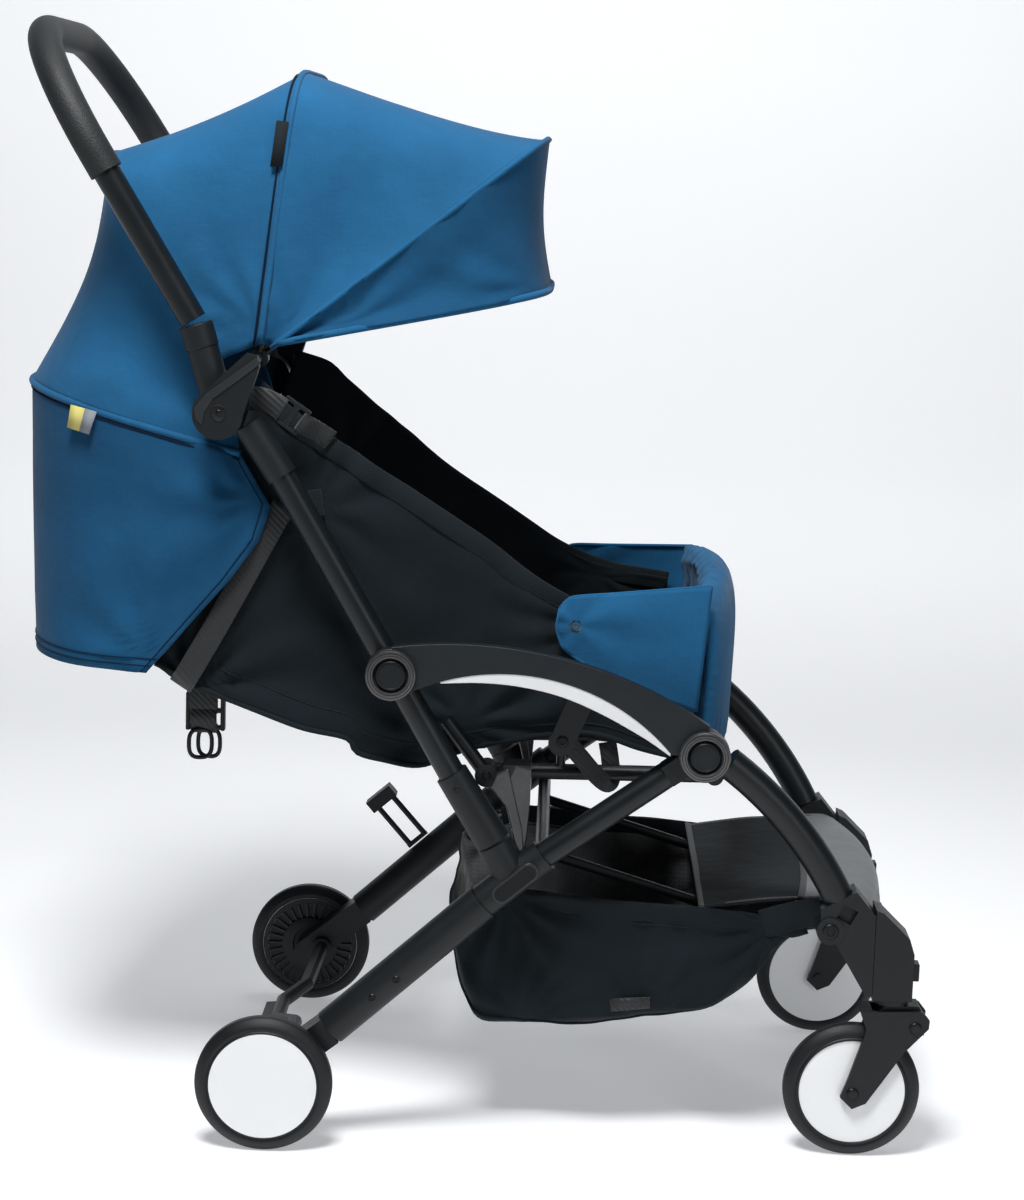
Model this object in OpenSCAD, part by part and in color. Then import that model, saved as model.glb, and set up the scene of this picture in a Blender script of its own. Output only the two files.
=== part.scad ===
// Folding baby stroller: tube frame, swivel front wheels, padded seat, hood and basket.
// X points forward, Y to the left, Z up. The wheels stand on Z = 0.

/* [Frame] */
// Outer diameter of the frame tubes
tube_d = 25; // [22:0.5:26]
// Outer diameter of the curved front legs
front_leg_d = 30; // [26:0.5:31]
// Distance from the centre plane to the side frames' tube axes
side_y = 197; // [195:0.5:199]
// Diameter of the foam grip
grip_d = 31; // [28:0.5:33]
// Bend radius of the push handle
handle_bend_r = 130; // [110:1:160]

/* [Wheels] */
// Diameter of the four wheels
wheel_d = 130; // [116:1:130]
// Width of the tyres
tyre_w = 22; // [18:1:22]
// Distance from the centre plane to the rear wheels' middle
rear_wheel_y = 224; // [224:0.5:230]
// Distance from the centre plane to the front wheels' middle
front_wheel_y = 178.5; // [176:0.5:180]

/* [Soft goods] */
// Half the width of the hood
hood_half = 168; // [164:1:170]
// Half the width of the seat and backrest pads
pad_half = 150; // [130:1:152]
// Half the width of the basket
basket_half = 162; // [150:1:163]
// Thickness of the hood and basket cloth shells
cloth = 3; // [2:0.5:4]

/* [Hidden] */
$fn = 48;

// Pivots and axles, as [x, z]
rear_axle = [-180, wheel_d / 2];
front_axle = [377, wheel_d / 2];
mid_hinge = [-69, 460.5];
front_hinge = [221.6, 394.2];
handle_hinge = [-231.4, 694.3];
recline_hinge = [-15, 378];
leg_rest_hinge = [247, 372];
suspension = [433, 132];
brake_hinge = [-164, 72];
swivel_x = 410;
loop_hinge = [-70.6, 186.9];
loop_lean = -41.5;
hood_hinge = [-202, 741];

// Frame tubes, as [x, z]
leg_low = [-120, 112.8];
leg_junction = [21, 241.5];
junction_top = [77, 288.5];
strut_low = [28.5, 300.4];
strut_foot_top = [-12, 363.7];
strut_top = [-174.6, 637];
elbow_top = [-255.5, 773];
handle_tilt = 31.4;
grip_start = 157;
grip_top = 305;
leg_arc = [22.8, 84];
leg_arc_r = 372.7;
leg_tilt = 6.25;

// Hinge layers at the front hinge and the handle hinge, as [low y, high y] on the right side
plate_out = [-209.5, -203];
plate_in = [-191, -184.5];
tongue = [-202.5, -191.5];
arch_layer = [-222.5, -210.5];
cap_layer = [-230.5, -222.5];
hub_out = [-212.5, -208];
hub_in = [-186, -181];
elbow_layer = [-207.5, -186.5];
hood_arm_layer = [-224, -213];

pin_d = 8;
hub_pin_d = 10;
hood_pin_d = 8;
axle_d = 10;
front_axle_d = 8;
running_gap = 0.1;

steel_black = [0.06, 0.06, 0.065];
moulded_black = [0.10, 0.10, 0.11];
hood_blue = [0.06, 0.24, 0.42];
cloth_black = [0.05, 0.05, 0.06];
cover_white = [0.93, 0.94, 0.95];
tyre_black = [0.04, 0.04, 0.04];
ring_grey = [0.25, 0.25, 0.27];

// ---------- helpers ----------
module both_sides() {
    children();
    mirror([0, 1, 0]) children();
}

module left_side() {
    mirror([0, 1, 0]) children();
}

// Solid round bar between two points
module rod(p, q, d) {
    v = q - p;
    translate(p) rotate([0, acos(v[2] / norm(v)), atan2(v[1], v[0])]) cylinder(d = d, h = norm(v));
}

// Round bar in the right side's plane, between two [x, z] points
module side_rod(p, q, d, y = -side_y) {
    rod([p[0], y, p[1]], [q[0], y, q[1]], d);
}

// Flat plate from an outline of [x, z] points, over a span of y
module plate(outline, span) {
    translate([0, span[1], 0]) rotate([90, 0, 0]) linear_extrude(span[1] - span[0]) polygon(outline);
}

// Disc or pin on an axis along Y
module disc(at, d, span) {
    translate([at[0], span[1], at[1]]) rotate([90, 0, 0]) cylinder(d = d, h = span[1] - span[0]);
}

// Straight bar of rectangular section between two [x, z] points, over a span of y
module bar(p, q, width, span) {
    v = q - p;
    side = [-v[1], v[0]] / norm(v) * width / 2;
    plate([p + side, p - side, q - side, q + side], span);
}

function unit(v) = v / norm(v);
function along(p, q, length) = p + unit(q - p) * length;
function backwards(list) = [for (i = [len(list) - 1:-1:0]) list[i]];

// U-shaped curve from side to side: end is its foot, apex is its middle, both as [x, z].
// A power of 1 makes it elliptic, and a smaller one squarer
bow_steps = 24;
function bow(end, apex, half, power = 0.5) = [
    for (i = [0:bow_steps])
    let (t = 180 * i / bow_steps, reach = pow(abs(sin(t)), power))
    [
        end[0] + (apex[0] - end[0]) * reach,
        -half * sign(cos(t)) * pow(abs(cos(t)), power),
        end[1] + (apex[1] - end[1]) * reach
    ]
];
function cloth_ring(end, apex, half, power = 0.5) = concat(
    bow(end, apex, half, power),
    backwards(bow(end, along(apex, end, cloth), half - cloth, power))
);

function corner_volume(p, face) = cross(p[face[0]], p[face[1]]) * p[face[2]];
function total(list, i = 0) = i < len(list) ? list[i] + total(list, i + 1) : 0;

// Closed skin over rings that all have the same number of points; a ring's first half runs
// out along one side and its second half back along the other, so its caps are strips
module skin(rings) {
    n = len(rings[0]);
    last = len(rings) - 1;
    points = [for (ring = rings) for (p = ring) p];
    walls = [
        for (i = [0:last - 1]) for (j = [0:n - 1]) for (half = [0, 1])
        let (a = i * n + j, b = i * n + (j + 1) % n)
        half == 0 ? [a, b, b + n] : [a, b + n, a + n]
    ];
    cap = [
        for (j = [0:floor(n / 2) - 1]) for (half = [0, 1])
        if (half == 0 || j + 1 < n - 2 - j)
        half == 0 ? [n - 1 - j, j + 1, j] : [n - 1 - j, n - 2 - j, j + 1]
    ];
    end_cap = [for (face = cap) backwards(face) + [1, 1, 1] * last * n];
    faces = concat(walls, cap, end_cap);
    volume = total([for (face = faces) corner_volume(points, face)]);
    polyhedron(points, volume > 0 ? [for (face = faces) backwards(face)] : faces, 4);
}

// Rings of a tube or strap along a path; ref is roughly square to the path
function path_ring(path, i, shape, ref) = let (
    before = path[max(i - 1, 0)],
    after = path[min(i + 1, len(path) - 1)],
    t = unit(after - before),
    u = unit(cross(t, ref)),
    v = cross(u, t)
) [for (s = shape) path[i] + s[0] * u + s[1] * v];
module sweep(path, shape, ref) {
    skin([for (i = [0:len(path) - 1]) path_ring(path, i, shape, ref)]);
}
function round_shape(d, sides = 10) = [for (k = [0:sides - 1]) d / 2 * [cos(360 * k / sides), sin(360 * k / sides)]];
function flat_shape(width, thick) = [
    [-width / 2, -thick / 2], [width / 2, -thick / 2], [width / 2, thick / 2], [-width / 2, thick / 2]
];

// ---------- rear legs ----------
module rear_tube() {
    clear_of_hinge = 27;
    tube_end = along(front_hinge, junction_top, clear_of_hinge);
    plate_root = along(front_hinge, junction_top, clear_of_hinge + 14);
    difference() {
        union() {
            side_rod(junction_top, tube_end, tube_d);
            for (layer = [plate_out, plate_in]) {
                bar(plate_root, front_hinge, 21, layer);
                disc(front_hinge, 40, layer);
            }
        }
        disc(front_hinge, pin_d + running_gap, [-215, -180]);
    }
}

module rear_leg() {
    carrier = [-211.5, -182.5];
    difference() {
        union() {
            side_rod(leg_low, leg_junction, 35);
            side_rod(leg_junction, junction_top, 32);
            side_rod([48, 266], along(strut_low, [48, 266], 2.5), 34);
            bar(rear_axle, leg_low, 28, carrier);
            disc(rear_axle, 28, carrier);
            disc(brake_hinge, 26, carrier);
            disc(rear_axle, axle_d, [-rear_wheel_y - tyre_w / 2 + 3, carrier[0]]);
        }
        disc(brake_hinge, axle_d + running_gap, [-192, -180]);
    }
}

module rear_tube_right() { color(steel_black) rear_tube(); }
module rear_tube_left() { color(steel_black) left_side() rear_tube(); }
module rear_leg_right() { color(moulded_black) rear_leg(); }
module rear_leg_left() { color(moulded_black) left_side() rear_leg(); }

module brake_bar() {
    boss_y = 182;
    waist_y = 60;
    pedal_y = 30;
    pedal_x = -189;
    route = [
        [brake_hinge[0], -boss_y + 3, brake_hinge[1]], [-168, -waist_y, 69], [pedal_x, -pedal_y, 60],
        [pedal_x, pedal_y, 60], [-168, waist_y, 69], [brake_hinge[0], boss_y - 3, brake_hinge[1]]
    ];
    color(moulded_black) {
        sweep(route, round_shape(15), [0, 0, 1]);
        both_sides() {
            disc(brake_hinge, 22, [-boss_y, -boss_y + 8]);
            disc(brake_hinge, axle_d, [-191, -boss_y]);
        }
        plate([[pedal_x - 18, 52], [pedal_x + 4, 54], [pedal_x + 4, 59], [pedal_x - 18, 57]], [-34, 34]);
    }
}

// Storage loop that folds inwards on the left rear leg
module lock_loop() {
    width = 26;
    height = 70;
    arm_d = 6;
    cap = [width + 6, 18, 14];
    color(moulded_black)
    translate([loop_hinge[0], side_y, loop_hinge[1]]) rotate([0, loop_lean, 0]) {
        for (x = [0, width - arm_d]) translate([x, 0, 0]) cylinder(d = arm_d, h = height - 10);
        translate([-arm_d / 2, 0, 0]) rotate([0, 90, 0]) cylinder(d = 5, h = width);
        translate([-arm_d / 2 - 3, -cap[1] / 2, height - cap[2] - 3]) cube(cap);
    }
}

// ---------- arches and hinges ----------
module arch() {
    difference() {
        union() {
            translate([0, arch_layer[1], 0]) rotate([90, 0, 0]) linear_extrude(arch_layer[1] - arch_layer[0])
            intersection() {
                difference() {
                    translate([-4.7, 73.4]) circle(r = 417.5);
                    translate([37.4, 261.3]) circle(r = 203.2);
                }
                translate([mid_hinge[0], front_hinge[1]]) square([front_hinge[0] - mid_hinge[0] + 3, 120]);
            }
            disc(mid_hinge, 48, arch_layer);
            disc(front_hinge, 47, [arch_layer[0], plate_out[0]]);
        }
        disc(mid_hinge, pin_d + running_gap, [-225, -205]);
        disc(front_hinge, pin_d + running_gap, [-225, -205]);
    }
}
module arch_right() { color(moulded_black) arch(); }
module arch_left() { color(moulded_black) left_side() arch(); }

module hinge_caps() {
    groove = [cap_layer[0] - 1, cap_layer[0] + 4];
    color(ring_grey) both_sides() for (at = [mid_hinge, front_hinge]) {
        difference() {
            disc(at, 47, cap_layer);
            disc(at, 33, groove);
        }
        disc(at, 28, [cap_layer[0] + 0.5, groove[1]]);
    }
}

module hinge_pins() {
    color(ring_grey) both_sides() {
        disc(mid_hinge, pin_d, [arch_layer[0], -183]);
        disc(mid_hinge, 16, [-183, -180]);
        disc(front_hinge, pin_d, [arch_layer[0], plate_in[1]]);
    }
}

// ---------- seat ----------
module seat_rails() {
    link_pivot = [20, 358];
    link_y = -172;
    rail_y = -155;
    rail_front = [235, 361];
    rail_d = 15;
    color(steel_black) {
        both_sides() {
            side_rod(link_pivot, rail_front, rail_d, rail_y);
            disc(link_pivot, 22, [link_y - 7, rail_y + 5]);
            side_rod(link_pivot, [-20, 409], 14, link_y);
            plate([[36, 372], [62, 372], [60, 330], [57, 291], [51, 291], [40, 335]], [-192, -164]);
            plate([[77, 394], [102, 394], [118, 432], [94, 436]], [-188, -184]);
            disc([89.5, 394], 25, [-188, -184]);
            disc([89.5, 394], 9, [-184, rail_y + 3]);
            rod([89.5, rail_y, 400], [89.5, rail_y, 358], 8.6);
            bar(rail_front, leg_rest_hinge, 8, [-163, -158]);
            disc(leg_rest_hinge, 9, [-164, -157]);
        }
        rod([rail_front[0], rail_y - 9, rail_front[1]], [rail_front[0], 9 - rail_y, rail_front[1]], rail_d + 1.5);
    }
}

module seat_cushion() {
    color(cloth_black) plate([[14, 385], [202, 384], [206, 396], [200, 409], [156, 409], [30, 406]], [-pad_half, pad_half]);
}

module seat_sides() {
    outline = [
        [-155, 684], [-124, 665], [-38, 611], [45, 551], [81, 527], [196, 498], [203, 430], [203, 388],
        [10, 386], [-60, 384], [-154, 396], [-212, 414], [-285, 437], [-250, 520], [-195, 600], [-175, 640]
    ];
    color(cloth_black) both_sides() plate(outline, [-161, -157]);
}

module lap_straps() {
    strap = flat_shape(25, 2.4);
    color(cloth_black) {
        both_sides() sweep([[52, -140, 411], [60, -100, 413], [76, -50, 422], [84, -28, 424]], strap, [0, 0, 1]);
        sweep([[150, 0, 411.5], [120, 0, 413], [104, 0, 420]], strap, [0, 0, 1]);
    }
}

module harness_buckle() {
    color(moulded_black) difference() {
        plate([[78, 414], [104, 414], [110, 424], [104, 434], [78, 434], [72, 424]], [-26, 26]);
        translate([91, 0, 430]) cylinder(d = 18.6, h = 10);
    }
}

module buckle_button() {
    color("firebrick") translate([91, 0, 434]) cylinder(d = 18, h = 3);
}

// ---------- basket ----------
// Rows along X: [x of rim, z of rim, x of floor, z of floor]
basket_rows = [
    [-2, 222, -8, 205], [12, 232, -4, 174], [30, 240, 8, 132], [52, 245, 26, 106], [90, 242, 90, 106],
    [140, 237, 140, 110], [190, 235, 190, 117], [230, 233, 234, 130], [270, 229, 272, 153],
    [300, 226, 296, 186], [318, 224, 314, 206], [328, 223, 326, 216]
];
module basket() {
    squareness = 0.17;
    color(cloth_black) skin([
        for (row = basket_rows) cloth_ring([row[0], row[1]], [row[2], row[3]], basket_half, squareness)
    ]);
}

module basket_rods() {
    rod_y = 106;
    cross_at = [74, 267];
    color(steel_black) {
        both_sides() rod([cross_at[0], -rod_y, cross_at[1]], [230, -rod_y, 221.5], 10);
        rod([cross_at[0], -side_y + 17, cross_at[1]], [cross_at[0], side_y - 17, cross_at[1]], 13);
    }
}

// ---------- back frame ----------
module strut() {
    difference() {
        side_rod(strut_top, strut_foot_top, tube_d);
        disc(mid_hinge, pin_d + running_gap, [-215, -180]);
    }
}
module strut_right() { color(steel_black) strut(); }
module strut_left() { color(steel_black) left_side() strut(); }

module strut_feet() {
    length = norm(strut_low - strut_foot_top);
    angle = atan2(strut_low[0] - strut_foot_top[0], strut_low[1] - strut_foot_top[1]);
    color(moulded_black) both_sides()
    translate([strut_foot_top[0], -side_y, strut_foot_top[1]]) rotate([0, angle, 0])
    cylinder(d1 = 31, d2 = 34, h = length);
}

module hub() {
    sleeve_top = [-206, 684];
    difference() {
        union() {
            side_rod(strut_top, sleeve_top, 29);
            disc(handle_hinge, 44, hub_out);
            disc(handle_hinge, 44, hub_in);
        }
        disc(handle_hinge, 44.6, [hub_out[1], hub_in[0]]);
    }
    disc(handle_hinge, hub_pin_d, [hood_arm_layer[0], -178]);
    disc(handle_hinge, 46, hood_arm_layer);
    plate([[-247, 711], [-206, 750], [-196, 748], [-194, 738], [-212, 682]], hood_arm_layer);
    disc(hood_hinge, hood_pin_d, [hood_arm_layer[0], -150]);
}
module hub_right() { color(moulded_black) hub(); }
module hub_left() { color(moulded_black) left_side() hub(); }

// ---------- handle ----------
module handle_elbow() {
    difference() {
        union() {
            disc(handle_hinge, 43, elbow_layer);
            difference() {
                side_rod(handle_hinge, elbow_top, 29);
                disc(handle_hinge, 46, [-215, elbow_layer[0]]);
                disc(handle_hinge, 46, [elbow_layer[1], -178]);
            }
        }
        disc(handle_hinge, hub_pin_d + running_gap, [-215, -178]);
    }
}
module handle_elbow_right() { color(moulded_black) handle_elbow(); }
module handle_elbow_left() { color(moulded_black) left_side() handle_elbow(); }

module in_handle_plane() {
    translate([elbow_top[0], 0, elbow_top[1]]) rotate([0, -handle_tilt, 0]) children();
}

module handle_tubes() {
    color(steel_black) in_handle_plane() both_sides() translate([0, -side_y, 4.2]) cylinder(d = tube_d, h = grip_start - 4.2);
}

module handle_grip() {
    bend_y = side_y - handle_bend_r;
    bend_z = grip_top - handle_bend_r;
    color(cloth_black) in_handle_plane() {
        both_sides() translate([0, -side_y, grip_start]) cylinder(d = grip_d, h = bend_z - grip_start);
        both_sides() translate([0, bend_y, bend_z]) rotate([90, 0, 90])
        rotate_extrude(angle = 90) translate([handle_bend_r, 0]) circle(d = grip_d);
        rod([0, -bend_y, grip_top], [0, bend_y, grip_top], grip_d);
    }
}

// ---------- hood ----------
// Feet and crowns of the hood's bows, as [x, z]
rear_foot = [-212, 753];
rear_crown = [-351.4, 924];
top_foot = [-200, 755];
top_crown = [-170.7, 1003];
front_foot = [-190, 751];
front_crown = [57.3, 949];
visor_foot = [-180, 747];
visor_crown = [64, 807];
back_rows = [
    [rear_foot, rear_crown, 0.5], [[-217, 653], [-446, 705], 0.72], [[-196, 590], [-444, 610], 0.72],
    [[-232, 520], [-442, 530], 0.72], [[-303, 442], [-439, 448], 0.72]
];
bow_d = 6;
bow_inset = 7;
seam_gap = 1.2;

// Cloth between two bows, which starts a little after the first and ends before the second
module hood_panel(foot_a, crown_a, foot_b, crown_b) {
    gap = seam_gap / norm(crown_b - crown_a);
    ends = [gap, 1 - gap];
    skin([for (f = ends) cloth_ring(foot_a + (foot_b - foot_a) * f, crown_a + (crown_b - crown_a) * f, hood_half)]);
}
module hood_back() {
    color(hood_blue) skin([for (row = back_rows) cloth_ring(row[0], row[1], hood_half, row[2])]);
}
module hood_rear() { color(hood_blue) hood_panel(rear_foot, rear_crown, top_foot, top_crown); }
module hood_roof() { color(hood_blue) hood_panel(top_foot, top_crown, front_foot, front_crown); }
module hood_visor() { color(hood_blue) hood_panel(front_foot, front_crown, visor_foot, visor_crown); }

// Wire bow with an ear on the hood's pin at each side
module wire_bow(crown, half, aside) {
    ear = 18;
    difference() {
        union() {
            sweep(bow(along(hood_hinge, crown, ear / 3), along(crown, hood_hinge, bow_inset), half),
                round_shape(bow_d), aside);
            both_sides() disc(hood_hinge, ear, [-half - 2, -half + 2]);
        }
        disc(hood_hinge, hood_pin_d + running_gap, [-hood_half, hood_half]);
    }
}
module top_bow() { color(steel_black) wire_bow(top_crown, hood_half - 7, [1, 0, -0.12]); }
module front_bow() { color(steel_black) wire_bow(front_crown, hood_half - 14.5, [0.62, 0, -0.78]); }

module recline_straps() {
    color(cloth_black) both_sides() plate([[-192, 604], [-172, 592], [-262, 420], [-286, 430]], [-162.9, -161.6]);
}

// ---------- backrest ----------
back_low = [-38, 366];
back_dir = unit([-0.9597, 0.281]);
back_normal = [0.281, 0.9597];
back_length = 330;
back_thick = 24;

module recline_brackets() {
    color(steel_black) both_sides() {
        disc(recline_hinge, 16, [-155.5, -152]);
        bar(recline_hinge, recline_hinge + back_dir * 34, 14, [-155.5, -152]);
    }
}

module backrest() {
    far = back_low + back_dir * back_length;
    color(cloth_black)
    plate([back_low, far, far + back_normal * back_thick, back_low + back_normal * back_thick], [-pad_half, pad_half]);
}

module shoulder_straps() {
    start = back_low + back_normal * (back_thick + 1.6) + back_dir * 40;
    far = start + back_dir * 240;
    color(cloth_black) for (y = [-58, 58]) bar(start, far, 3, [y - 22, y + 22]);
}

module recline_buckle() {
    color(moulded_black) {
        plate([[-276, 430], [-268, 426], [-268, 380], [-276, 380]], [-13, 13]);
        plate([[-290, 380], [-258, 380], [-258, 350], [-290, 350]], [-14, 14]);
        for (y = [-9, 9]) rod([-280, y, 352], [-280, y, 326], 4);
        rod([-280, -13, 326], [-280, 13, 326], 5.5);
    }
}

// ---------- leg rest ----------
leg_rest_profile = [
    [249, 374], [251, 430], [253, 507], [241, 545], [222, 560],
    [213, 551], [227, 520], [230, 480], [229, 430], [229, 376]
];
module leg_rest() {
    half = 165;
    steps = 10;
    bowed_back = 20;
    lowered = 16;
    color(hood_blue) skin([
        for (i = [0:steps])
        let (f = 2 * i / steps - 1)
        [for (p = leg_rest_profile) [p[0] - bowed_back * f * f, half * f, p[1] - lowered * f * f * (p[1] - 374) / 186]]
    ]);
}
module leg_rest_flaps() {
    outline = [[84, 521], [99, 529], [136, 533], [224, 543], [222, 491], [213, 424], [108, 468], [81, 502]];
    color(hood_blue) both_sides() plate(outline, [-172, -168.5]);
}

// ---------- front frame ----------
module front_leg() {
    from_angle = 27;
    to_angle = 53.4;
    neck = along(front_hinge, [347, 250], 32);
    difference() {
        union() {
            disc(front_hinge, 40, tongue);
            bar(front_hinge, neck, 24, tongue);
            translate([0, -side_y, front_hinge[1]]) rotate([leg_tilt, 0, 0])
            translate([leg_arc[0], 0, leg_arc[1] - front_hinge[1]]) rotate([90, 0, 0]) rotate([0, 0, from_angle])
            rotate_extrude(angle = to_angle - from_angle) translate([leg_arc_r, 0]) circle(d = front_leg_d);
        }
        disc(front_hinge, pin_d + running_gap, [-215, -180]);
    }
}
module front_leg_right() { color(steel_black) front_leg(); }
module front_leg_left() { color(steel_black) left_side() front_leg(); }

module leg_sockets() {
    span = [-196.5, -163.5];
    window = [363, 241];
    color(moulded_black) both_sides() difference() {
        union() {
            plate([[338, 245], [371, 263], [390, 240], [390, 162], [384, 162], [353, 213], [339, 214]], span);
            disc([347.8, 224.7], 26, span - [2, 0]);
        }
        translate([window[0], span[0] - 1, window[1]]) rotate([0, 28, 0]) cube([15, 12, 15], center = true);
    }
}

module caster_housings() {
    span = [-front_wheel_y - 18, -front_wheel_y + 18];
    outline = [[390.5, 246], [398, 243], [423, 219], [428, 204], [428, 158], [390.5, 158]];
    color(moulded_black) both_sides() difference() {
        plate(outline, span);
        translate([swivel_x, -front_wheel_y, 150]) cylinder(d = axle_d + running_gap, h = 42);
        translate([419, -front_wheel_y - 8.3, 174.7]) cube([20, 16.6, 17.6]);
    }
}

module caster_button() {
    translate([423, -front_wheel_y - 8, 175]) cube([12, 16, 17]);
}
module caster_button_right() { color(moulded_black) caster_button(); }
module caster_button_left() { color(moulded_black) left_side() caster_button(); }

function bar_x(y) = 405 - 21 * pow(y / 150, 2);
module footrest_bar() {
    ys = [-150, -115, -75, -35, 0, 35, 75, 115, 150];
    inner = [for (y = ys) [bar_x(y), y, 236]];
    route = concat([[354, -163, 226]], inner, [[354, 163, 226]]);
    color(steel_black) sweep(route, round_shape(11), [0, 0, 1]);
}

module footrest_cover() {
    half = 148;
    steps = 12;
    outline = [
        [228, 240], [320, 244], [396, 249], [417, 242], [421, 200],
        [418, 200], [414, 240], [396, 246], [320, 241], [228, 237]
    ];
    color(cloth_black) skin([
        for (i = [0:steps])
        let (y = half * (2 * i / steps - 1), pull = bar_x(0) - bar_x(y))
        [for (p = outline) [p[0] - pull * max(0, (p[0] - 228) / 190), y, p[1]]]
    ]);
}

// ---------- casters ----------
module caster_head() {
    top_z = 157.4;
    difference() {
        union() {
            translate([swivel_x, -front_wheel_y, 140]) cylinder(d = 23, h = top_z - 140);
            translate([swivel_x, -front_wheel_y, top_z - 4.6]) cylinder(d = 34, h = 4.6);
            translate([swivel_x, -front_wheel_y, top_z - 1]) cylinder(d = axle_d, h = 32);
            plate([[396, 142], [404, 152], [436, 152], [444, 138], [442, 124], [422, 124], [398, 137]],
                [-front_wheel_y - 12, -front_wheel_y + 12]);
        }
        disc(suspension, pin_d + running_gap, [-front_wheel_y - 20, -front_wheel_y + 20]);
    }
}
module caster_head_right() { color(moulded_black) caster_head(); }
module caster_head_left() { color(moulded_black) left_side() caster_head(); }

fork_outline = [
    [380.4, 146.3], [439, 148.6], [446, 140], [445.5, 132], [424, 108.3], [390, 56], [377, 50], [365.5, 61],
    [371, 76], [387, 128]
];
module fork() {
    inner = 12.5;
    outer = 17.5;
    middle = -front_wheel_y;
    for (span = [[middle - outer, middle - inner], [middle + inner, middle + outer]]) plate(fork_outline, span);
    plate([[381, 146.3], [392, 146.7], [391, 138], [386, 136]], [middle - inner, middle + inner]);
    disc(suspension, pin_d, [middle - outer - 3, middle + outer + 3]);
    disc(front_axle, front_axle_d, [middle - outer - 3, middle + outer + 3]);
}
module fork_right() { color(moulded_black) fork(); }
module fork_left() { color(moulded_black) left_side() fork(); }

// ---------- wheels ----------
hub_d = 104;
// Tyre with a stepped side wall, on the wheel's own axis
module tyre() {
    r = wheel_d / 2;
    w = tyre_w / 2;
    seat = hub_d / 2;
    rotate_extrude() polygon([
        [seat, -w + 1], [seat + 4, -w], [seat + 7, -w + 1.5], [r - 2.5, -w + 4], [r, -w + 7],
        [r, w - 7], [r - 2.5, w - 4], [seat + 7, w - 1.5], [seat + 4, w], [seat, w - 1]
    ]);
}
module place_wheel(at, y) {
    translate([at[0], y, at[1]]) rotate([90, 0, 0]) children();
}
module rear_hub() {
    w = tyre_w / 2;
    difference() {
        translate([0, 0, -w + 1]) cylinder(d = hub_d, h = tyre_w - 1);
        translate([0, 0, -w]) cylinder(d = axle_d + running_gap, h = tyre_w - 2.9);
        translate([0, 0, -w]) difference() {
            cylinder(d = 92, h = 14);
            cylinder(d = 60, h = 14);
        }
    }
}
module front_hub() {
    w = tyre_w / 2 - 0.5;
    difference() {
        translate([0, 0, -w]) cylinder(d = hub_d, h = 2 * w);
        translate([0, 0, -w - 1]) cylinder(d = front_axle_d + running_gap, h = tyre_w + 2);
    }
}
module rear_tyre_right() { color(tyre_black) place_wheel(rear_axle, -rear_wheel_y) tyre(); }
module rear_tyre_left() { color(tyre_black) left_side() place_wheel(rear_axle, -rear_wheel_y) tyre(); }
module rear_hub_right() { color(cover_white) place_wheel(rear_axle, -rear_wheel_y) rear_hub(); }
module rear_hub_left() { color(cover_white) left_side() place_wheel(rear_axle, -rear_wheel_y) rear_hub(); }
module front_tyre_right() { color(tyre_black) place_wheel(front_axle, -front_wheel_y) tyre(); }
module front_tyre_left() { color(tyre_black) left_side() place_wheel(front_axle, -front_wheel_y) tyre(); }
module front_hub_right() { color(cover_white) place_wheel(front_axle, -front_wheel_y) front_hub(); }
module front_hub_left() { color(cover_white) left_side() place_wheel(front_axle, -front_wheel_y) front_hub(); }

rear_tube_right();
rear_tube_left();
rear_leg_right();
rear_leg_left();
arch_right();
arch_left();
hinge_caps();
hinge_pins();
seat_rails();
seat_cushion();
seat_sides();
basket();
basket_rods();
lap_straps();
harness_buckle();
buckle_button();
brake_bar();
lock_loop();
strut_right();
strut_left();
strut_feet();
hub_right();
hub_left();
hood_back();
recline_straps();
handle_tubes();
handle_grip();
handle_elbow_right();
handle_elbow_left();
top_bow();
hood_rear();
front_bow();
hood_roof();
hood_visor();
recline_brackets();
backrest();
shoulder_straps();
recline_buckle();
leg_rest();
leg_rest_flaps();
front_leg_right();
front_leg_left();
leg_sockets();
caster_housings();
footrest_bar();
footrest_cover();
caster_head_right();
caster_head_left();
caster_button_right();
caster_button_left();
fork_right();
fork_left();
rear_tyre_right();
rear_tyre_left();
rear_hub_right();
rear_hub_left();
front_tyre_right();
front_tyre_left();
front_hub_right();
front_hub_left();
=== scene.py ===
"""Looks of a folding baby stroller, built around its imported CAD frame. +X forward, +Y left, +Z up, metres."""

from math import atan2, copysign, cos, exp, hypot, pi, radians, sin, sqrt

import bmesh
import bpy
import numpy as np
from mathutils import Matrix, Vector, noise


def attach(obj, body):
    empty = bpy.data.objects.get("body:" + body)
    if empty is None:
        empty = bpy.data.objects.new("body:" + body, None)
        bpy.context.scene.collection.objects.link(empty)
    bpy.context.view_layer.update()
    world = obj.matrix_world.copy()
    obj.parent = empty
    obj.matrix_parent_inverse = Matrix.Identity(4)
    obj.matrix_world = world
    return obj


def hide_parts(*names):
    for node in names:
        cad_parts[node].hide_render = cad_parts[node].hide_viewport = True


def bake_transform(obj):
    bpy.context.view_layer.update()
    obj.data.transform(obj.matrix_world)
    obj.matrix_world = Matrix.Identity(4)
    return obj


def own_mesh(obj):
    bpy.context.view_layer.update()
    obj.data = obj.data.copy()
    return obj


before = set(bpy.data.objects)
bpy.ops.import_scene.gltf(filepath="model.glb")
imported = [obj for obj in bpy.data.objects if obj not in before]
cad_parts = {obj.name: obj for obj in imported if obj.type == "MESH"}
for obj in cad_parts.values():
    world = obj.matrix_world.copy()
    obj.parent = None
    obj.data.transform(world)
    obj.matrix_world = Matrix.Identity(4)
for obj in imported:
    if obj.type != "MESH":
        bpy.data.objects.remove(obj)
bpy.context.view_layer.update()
scene = bpy.context.scene

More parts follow.
